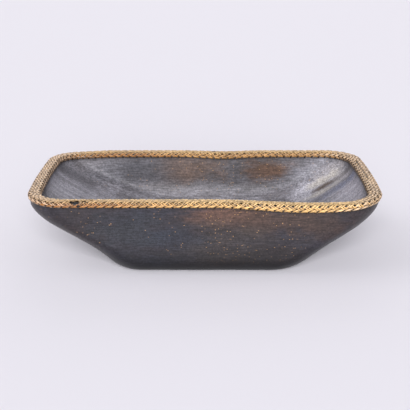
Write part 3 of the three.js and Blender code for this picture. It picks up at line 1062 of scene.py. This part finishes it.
@dataclass
class RimPlait:
    """The cane binding: paired strands that lean forward over the rim and back again.

    Counted across the rim, forward pairs lie on top at every other crossing. Shares run from 0 at
    the outer hole to 1 at the inner hole, or from 0 at either hole. Lifts are heights over the
    wood. Strays are how far a strand may lie off its place.
    """

    track: RimTrack
    finish: SplitCane = SplitCane()
    forward_holes: int = 6
    back_holes: int = 5
    path_points: int = 56
    profile_points: int = 8
    strand_width: float = 1.65 * MM
    strand_thickness: float = 0.9 * MM
    hole_lift: float = 0.5 * MM
    under_lift: float = 0.6 * MM
    over_lift: float = 1.5 * MM
    lift_stray: float = 0.05 * MM
    settle_share: float = 0.07
    crossing_steepness: float = 2.2
    hole_spread: float = 1.4 * MM
    twin_spread: tuple[float, float] = (0.65 * MM, 1.85 * MM)
    opening_share: float = 0.12
    faded_closing: float = 0.35
    side_strays: tuple[float, float] = (0.2 * MM, 0.15 * MM)
    tail_side: float = 0.7
    tail_twin: float = 0.3 * MM
    tail_depths: tuple[float, float] = (2.6 * MM, 0.5 * MM)
    tail_girths: tuple[float, float] = (0.6, 0.7)
    girths: tuple[tuple, tuple] = ((0.0, 0.06, 0.2, 0.35), (0.8, 1.0, 1.0, 1.2))
    girth_stray: float = 0.07
    faded_thinning: float = 0.12
    tone_bias: float = 0.6
    fibre_shift: float = 10.0
    # Painted shade on the cane: near and in the holes, where a strand dives under, and at the inner edge
    # of the faded ends.
    hole_shade: tuple[float, float] = (0.01, 0.06)
    under_shade: tuple[float, float] = (0.62, 0.4)
    inner_shade: tuple[float, float] = (1.2, 1.7)
    inner_shade_shares: tuple[float, float] = (0.86, 0.91)
    # A painted highlight along the front's inner top edge.
    highlight_share: float = 0.7
    highlight_width: float = 0.05
    # One strand at this hole is lifted and drawn darker near its outer end.
    black_hole: int = 5
    black_share: float = 0.26
    black_darkening: float = 1.2
    black_lift: float = 0.5 * MM
    laid_step: float = 3 * MM
    laid_points: int = 5
    laid_taper: float = 0.4
    laid_tip: float = 0.3
    front_ages: tuple[tuple, tuple] = ((-130, -95, -60, 0, 60), (0.95, 0.75, 0.4, 0.12, 0.0))
    back_ages: tuple[tuple, tuple] = ((-120, -70, -45, 60, 120), (0.85, 0.95, 0.45, 0.6, 0.6))
    # How faded the cane is drawn towards the ends: partly weathering, partly painted sheen.
    fades_and_sheen: tuple[tuple, tuple] = ((168, 196), (0.0, 0.75))
    worn: tuple[WornPlace, ...] = (
        WornPlace(-155, -149.5, 0.22, 0.42), WornPlace(-150, -144.5, 0.19, 0.54),
        WornPlace(-141, -136.5, 0.27, 0.5), WornPlace(-146, -142.5, 0.06, 0.15),
        WornPlace(-160, -157.5, 0.3, 0.42), WornPlace(-131, -128.5, 0.4, 0.54),
        WornPlace(292, 382, 0.52, 0.66))
    lengths: tuple[CaneLength, ...] = (
        CaneLength("rim_plait_front", 0.0, -89), CaneLength("rim_plait_right_end", 0.0, 148),
        CaneLength("rim_plait_back", 0.5, -204), CaneLength("rim_plait_back_left", 0.5, 74),
        CaneLength("rim_plait_left_end", 0.75, -8))
    grey: tuple = (("tone", 0.8), ("sunk", 0.0), ("age", 0.0), ("fade", 1.0))
    dark: tuple = (("tone", 0.4), ("sunk", 0.9), ("age", 1.0), ("fade", 0.6))
    laid: tuple[LaidStrand, ...] = (
        LaidStrand("rim_plait_right_end", 0.0, 290, 384, 6.7 * MM, 0.8 * MM, 0.3, grey),
        LaidStrand("rim_plait_right_end", 0.0, 291, 383, 7.9 * MM, 0.8 * MM, 0.3, grey),
        LaidStrand("rim_plait_back", 0.5, -13, -5, 6 * MM, 2.5 * MM, 1.1, dark))

    def section(self, share: np.ndarray, lift: np.ndarray, depths: np.ndarray) -> tuple:
        """Follow the rim's section from an outer hole over the top to an inner hole.

        Args:
            share: How much of the way is done, from 0 to 1.
            lift: Height over the wood, square to it.
            depths: Depth of the outer and of the inner hole under the rim.

        Returns:
            Across the rim, above its top, and the outward direction as two columns.
        """
        r, wall = self.track.shape.rim_edge_round, self.track.shape.wall
        legs = depths - r
        arc = math.pi / 2 * r
        top = wall - 2 * r
        whole = float(legs.sum()) + 2 * arc + top
        run = share * whole
        inner_half = run > legs[0] + arc + top / 2
        near = np.where(inner_half, whole - run, run)
        leg = np.where(inner_half, legs[1], legs[0])
        turn = np.clip((near - leg) / arc, 0, 1) * math.pi / 2
        across = np.where(near < leg, -lift, r - (r + lift) * np.cos(turn))
        height = np.where(near < leg, near - leg - r, (r + lift) * np.sin(turn) - r)
        on_top = near > leg + arc
        across = np.where(on_top, r + near - leg - arc, across)
        height = np.where(on_top, lift, height)
        across = np.where(inner_half, wall - across, across)
        facing = np.stack([np.where(inner_half, 1, -1) * np.cos(turn), np.sin(turn)], -1)
        return across, height, facing

    def weather_and_sheen(self, point: np.ndarray) -> tuple[float, float]:
        """How amber the cane has become at a place on the rim, and how faded it is drawn there: partly
        weathering, partly painted sheen at the ends.
        """
        ages = self.front_ages if point[1] < 0 else self.back_ages
        return float(np.interp(point[0] / MM, *ages)), float(np.interp(abs(point[0]) / MM, *self.fades_and_sheen))

    def over(self, share: np.ndarray, forward: bool) -> np.ndarray:
        """Work out where a strand lies over the ones that it crosses.

        Args:
            share: How much of the way is done, from 0 to 1.
            forward: Whether it leans forward.

        Returns:
            1 where it lies on top, 0 where it lies under.
        """
        crossings = self.forward_holes + self.back_holes
        numbers = np.arange(crossings + 1)
        on_top = (numbers % 2 == 1) == forward
        over = np.interp(share * crossings, numbers, on_top.astype(float))
        return np.clip((over - 0.5) * self.crossing_steepness + 0.5, 0, 1)

    def kept(self, distance: np.ndarray, share: np.ndarray) -> np.ndarray:
        """Find what is left of a strand where the plait is worn.

        Args:
            distance: Along the rim from the middle of the front.
            share: How much of the way is done, from 0 to 1.

        Returns:
            Whether each point is still there.
        """
        half = self.track.perimeter / 2
        around = (distance + half) % self.track.perimeter - half
        kept = np.full(len(share), True)
        for place in self.worn:
            kept &= ~((around > place.start * MM) & (around < place.stop * MM)
                      & (share > place.outer) & (share < place.inner))
        return kept

    def strand(self, hole: int, way: Lean, twin: int, rng: np.random.Generator) -> Strand:
        """Lay one of a stitch's two strands.

        Args:
            hole: Number of the outer hole that it leaves or reaches.
            way: Whether it leans forward or back.
            twin: Which side of the stitch it lies on, -1 or 1.
            rng: Source of the small differences between strands.

        Returns:
            Its points, their width directions and girths, and what its colour follows.
        """
        track, wall = self.track, self.track.shape.wall
        forward = way is Lean.FORWARD
        holes = self.forward_holes if forward else -self.back_holes
        ends = track.hole_distance(np.array([hole, hole + holes]))
        share = np.linspace(0, 1, self.path_points)
        near_end = np.minimum(share, 1 - share)
        middle = track.place(ends.mean(keepdims=True), np.array([wall / 2]), np.zeros(1))[0]
        age, fade = self.weather_and_sheen(middle)

        side = way.value * self.hole_spread
        tight, loose = self.twin_spread
        loose *= 1 - self.faded_closing * fade
        distance = ends[0] + side + (ends[1] - ends[0] - 2 * side) * share
        distance += twin * np.interp(near_end, (0, self.opening_share), (tight, loose))
        for waves, stray in enumerate(self.side_strays, 1):
            distance += rng.normal(0, stray) * np.sin(waves * math.pi * share)

        over = self.over(share, forward)
        black = (share < self.black_share) & (hole == self.black_hole and forward and twin < 0)
        lift = self.under_lift + (self.over_lift - self.under_lift) * over - self.hole_lift
        lift = self.hole_lift + lift * np.interp(near_end, (0, self.settle_share), (0, 1))
        lift += rng.normal(0, self.lift_stray) + self.black_lift * black
        depths = track.hole_depth_at(ends)
        across, height, facing = self.section(share, lift, depths)
        points = track.place(distance, across, height)
        normal = track.across_at(distance) * facing[:, :1] + np.array([0, 0, 1.0]) * facing[:, 1:]
        wide = unit(np.cross(np.gradient(points, axis=0), normal))

        # Painted highlight: a pale band along the front's inner top edge.
        highlight_band = np.exp(-((share - self.highlight_share) / self.highlight_width) ** 2)
        painted_highlight = (points[:, 1] < 0) * highlight_band * (1 - fade)
        # Painted shade: darker near the holes, where the strand dives under and at the inner edge of the
        # ends.
        sunk = np.maximum.reduce([
            np.interp(near_end, self.hole_shade, (1, 0)), self.black_darkening * black,
            (self.under_shade[0] + self.under_shade[1] * fade) * (1 - over),
            self.inner_shade[not forward] * fade * np.interp(share, self.inner_shade_shares, (0, 1))])
        tails = []
        for at, face, inwards in ((0, 0.0, 1.0), (1, wall, -1.0)):
            place = ends[at:at + 1] + inwards * side * self.tail_side + twin * self.tail_twin
            tails.append([track.place(place, np.array([face + inwards * deep]), -depths[at:at + 1])
                          for deep in self.tail_depths])
        points = np.vstack([*tails[0], points, *reversed(tails[1])])
        girth = np.interp(near_end, *self.girths)
        girth = np.concatenate([self.tail_girths, girth, self.tail_girths[::-1]])
        girth *= rng.normal(1, self.girth_stray) * (1 - self.faded_thinning * fade)
        tone = rng.uniform(0, 1) ** self.tone_bias
        steps = np.linalg.norm(np.diff(points, axis=0), axis=1)
        along = np.concatenate([[0.0], np.cumsum(steps)]) + rng.uniform(0, self.fibre_shift)
        spare = len(tails[0])
        # The tails inside the holes are drawn fully dark, as painted shade.
        return {"points": points, "wide": np.pad(wide, ((spare, spare), (0, 0)), "edge"),
                "girth": girth, "along": along, "sunk": np.pad(sunk, spare, constant_values=1.0),
                "crown": np.pad(facing[:, 1] + painted_highlight, spare),
                "kept": np.pad(self.kept(distance, share), spare, constant_values=True),
                **{key: np.full(len(points), value)
                   for key, value in (("tone", tone), ("age", age), ("fade", fade))}}

    def laid_strand(self, laid: LaidStrand) -> Strand:
        """Lay a strand along the rim instead of across it.

        Args:
            laid: The strand.

        Returns:
            The same fields as a stitch's strand has.
        """
        start, stop = (laid.way_round * self.track.perimeter + at * MM for at in (laid.start, laid.stop))
        count = max(self.laid_points, round((stop - start) / self.laid_step))
        distance = np.linspace(start, stop, count)
        ends = np.sin(np.linspace(0, math.pi, count)) ** self.laid_taper
        return {"points": self.track.place(distance, np.full(count, laid.across), laid.height * ends),
                "wide": self.track.across_at(distance), "along": distance,
                "girth": laid.girth * (self.laid_tip + (1 - self.laid_tip) * ends),
                "crown": np.zeros(count), "kept": np.full(count, True),
                **{key: np.full(count, value) for key, value in laid.looks}}

    def strand_tree(self, finish: bpy.types.Material) -> bpy.types.NodeTree:
        """Build the node tree that turns each chain of edges into a flat strand of cane.

        Args:
            finish: Material of the cane.

        Returns:
            The tree.
        """
        tree, add, given = new_tree("lay_cane", {
            "Width": ("NodeSocketFloat", self.strand_width),
            "Thickness": ("NodeSocketFloat", self.strand_thickness),
            "Profile Points": ("NodeSocketInt", self.profile_points)})
        wide = add("GeometryNodeInputNamedAttribute", {"Name": "wide"}, data_type="FLOAT_VECTOR")
        girth = add("GeometryNodeInputNamedAttribute", {"Name": "girth"}, data_type="FLOAT")
        paths = add("GeometryNodeMeshToCurve", {"Mesh": given["Geometry"]})
        turned = add("GeometryNodeSetCurveNormal", {"Curve": paths, "Normal": wide}, mode="FREE")
        circle = add("GeometryNodeCurvePrimitiveCircle", {
            "Resolution": given["Profile Points"], "Radius": 0.5})
        size = add("ShaderNodeCombineXYZ", (given["Width"], given["Thickness"], 1.0))
        spot = add("GeometryNodeInputPosition")
        parts = add("ShaderNodeSeparateXYZ", (spot,))
        marked = add("GeometryNodeStoreNamedAttribute",
                     {"Geometry": circle, "Name": "around", "Value": parts}, data_type="FLOAT")
        profile = add("GeometryNodeTransform", {"Geometry": marked, "Scale": size})
        strands = add("GeometryNodeCurveToMesh", {
            "Curve": turned, "Profile Curve": profile, "Scale": girth, "Fill Caps": True})
        real = add("GeometryNodeRealizeInstances", (strands,))
        dressed = add("GeometryNodeSetMaterial", {"Geometry": real, "Material": finish})
        add("NodeGroupOutput", (dressed,))
        return tree

    def lay(self, name: str, strands: list[Strand], tree: bpy.types.NodeTree) -> bpy.types.Object:
        """Make one length of plait from its strands.

        Args:
            name: CAD node that it stands for.
            strands: What strand() and laid_strand() gave.
            tree: The strand tree.

        Returns:
            The finished piece.
        """
        joined = {key: np.concatenate([strand[key] for strand in strands]) for key in strands[0]}
        last = np.cumsum([len(strand["points"]) for strand in strands]) - 1
        linked = joined["kept"][:-1] & joined["kept"][1:]
        linked[last[:-1]] = False
        edges = [(int(at), int(at) + 1) for at in np.flatnonzero(linked)]
        piece = mesh_object(f"{name}_cane", joined["points"], [], edges)
        for key in ("wide", "girth", "tone", "along", "sunk", "age", "fade", "crown"):
            store(piece.data, key, joined[key])
        grow(piece, tree, {"Width": self.strand_width, "Thickness": self.strand_thickness,
                           "Profile Points": self.profile_points})
        piece.data.shade_smooth()
        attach(piece, BODY)
        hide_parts(name)
        return piece

    def build(self) -> list[bpy.types.Object]:
        """Plait every length and dress it.

        Returns:
            One piece for each length.
        """
        track = self.track
        tree = self.strand_tree(self.finish.material())
        rng = np.random.default_rng(SEED)
        starts = [round((length.way_round * track.perimeter + length.start * MM) / track.step)
                  for length in self.lengths]
        pieces = []
        for length, start, stop in zip(self.lengths, starts, [*starts[1:], starts[0] + track.hole_count]):
            strands = [self.strand(hole, way, twin, rng)
                       for hole in range(start, stop) for way in Lean for twin in (-1, 1)]
            strands += [self.laid_strand(laid) for laid in self.laid if laid.node == length.node]
            pieces.append(self.lay(length.node, strands, tree))
        return pieces


@dataclass(frozen=True)
class Softbox:
    """A broad soft light: its turn, rise and spread in degrees, and its power."""

    name: str
    turn: float
    rise: float
    spread: float
    power: float


@dataclass
class Studio:
    """Camera at the photograph's angle, pale seamless floor and soft light."""

    lens: float = 79.0
    elevation: float = 18.035
    distance: float = 1.17554
    aim_height: float = 49.17 * MM
    sight: float = 60.0
    floor_size: float = 16.0
    floor_gap: float = 0.05 * MM
    paper: PalePaper = PalePaper()
    walls: float = 0.88
    ceiling: float = 0.27
    ceiling_rise: tuple[float, float] = (0.2, 0.6)
    room_colour: str = "#f9f8ff"
    light_colour: str = "#fdfcff"
    softboxes: tuple[Softbox, ...] = (
        Softbox("front_softbox", 0, 22, 36, 4.6), Softbox("back_softbox", 180, 28, 40, 0.4),
        Softbox("left_softbox", -90, 45, 50, 0.5))

    def camera(self) -> None:
        """Place the camera and make it the scene's."""
        data = bpy.data.cameras.new("camera")
        data.lens = self.lens
        data.clip_end = self.sight
        camera = bpy.data.objects.new("camera", data)
        tilt = math.radians(self.elevation)
        camera.location = (0, -math.cos(tilt) * self.distance,
                           self.aim_height + math.sin(tilt) * self.distance)
        camera.rotation_euler = (math.pi / 2 - tilt, 0, 0)
        bpy.context.scene.collection.objects.link(camera)
        bpy.context.scene.camera = camera

    def floor(self) -> None:
        """Lay the floor just under the foot."""
        half = self.floor_size / 2
        corners = [(-half, -half), (half, -half), (half, half), (-half, half)]
        floor = mesh_object("studio_floor", [(x, y, -self.floor_gap) for x, y in corners], [(0, 1, 2, 3)])
        floor.data.materials.append(self.paper.material())

    def lights(self) -> None:
        """Set low soft lights in front, behind and at the left, in a room whose walls are pale."""
        world = bpy.data.worlds.new("pale_room")
        world.use_nodes = True
        add = partial(add_node, world.node_tree)
        rise = add("ShaderNodeSeparateXYZ", (add("ShaderNodeTexCoord"),)).outputs[2]
        glow = add("ShaderNodeMapRange", (rise, *self.ceiling_rise, self.walls, self.ceiling),
                   interpolation_type="SMOOTHSTEP")
        background = world.node_tree.nodes["Background"]
        background.inputs["Color"].default_value = linear(self.room_colour)
        world.node_tree.links.new(glow.outputs[0], background.inputs["Strength"])
        bpy.context.scene.world = world
        for softbox in self.softboxes:
            data = bpy.data.lights.new(softbox.name, "SUN")
            data.energy = softbox.power
            data.angle = math.radians(softbox.spread)
            data.color = linear(self.light_colour)[:3]
            lamp = bpy.data.objects.new(softbox.name, data)
            lamp.rotation_euler = (math.radians(90 - softbox.rise), 0, math.radians(softbox.turn))
            bpy.context.scene.collection.objects.link(lamp)

    def build(self) -> None:
        """Set up the studio."""
        bpy.context.scene.view_settings.view_transform = "Standard"
        self.camera()
        self.floor()
        self.lights()


def main() -> None:
    """Build the studio and the dish."""
    logging.basicConfig(level=logging.INFO, format="%(name)s: %(message)s")
    Studio().build()
    shape = DishShape()
    track = RimTrack(shape)
    pieces = [CarvedBowl(shape, track).build(), *RimPlait(track).build()]
    for piece in pieces:
        LOG.info("%s: %d faces", piece.name, len(piece.data.polygons))


if __name__ == "__main__":
    main()
